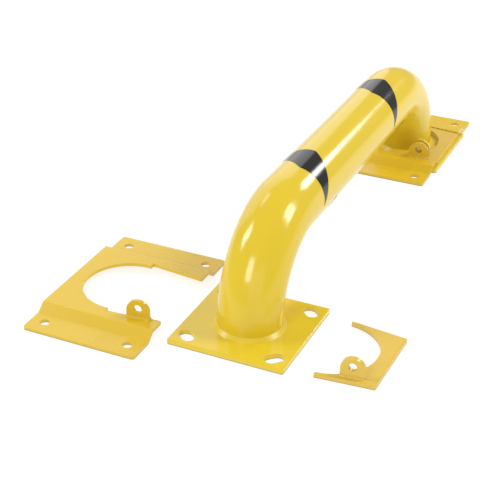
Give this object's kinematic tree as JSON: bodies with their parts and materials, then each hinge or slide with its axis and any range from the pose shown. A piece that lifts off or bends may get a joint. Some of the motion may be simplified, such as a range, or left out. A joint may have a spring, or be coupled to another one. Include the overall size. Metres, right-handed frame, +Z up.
{
  "type": "removable rack guard hoop",
  "caption": "Low yellow tube hoop with black bands on square feet that slide into bolted floor brackets and are held by drop-in locking plates with padlock lugs.",
  "frame": {"origin": "on the floor, under the centre of the near foot plate", "axes": "+Z up; +Y along the hoop from the near foot to the far foot; +X towards the open ends of the brackets"},
  "size_m": [0.4039, 0.7895, 0.1513],
  "materials": {
    "hoop_yellow": "glossy yellow powder coat on steel",
    "bracket_yellow": "satin yellow powder coat on steel",
    "band_black": "glossy black adhesive film"
  },
  "bodies": {
    "root": {"hoop_tube": "hoop_yellow", "near_foot_plate": "hoop_yellow", "far_foot_plate": "hoop_yellow", "near_weld_bead": "hoop_yellow", "far_weld_bead": "hoop_yellow", "near_band": "band_black", "far_band": "band_black", "near_floor_bracket": "bracket_yellow", "far_floor_bracket": "bracket_yellow", "near_locking_plate": "bracket_yellow", "far_locking_plate": "bracket_yellow", "near_lock_lug": "bracket_yellow", "far_lock_lug": "bracket_yellow"}
  },
  "joints": []
}
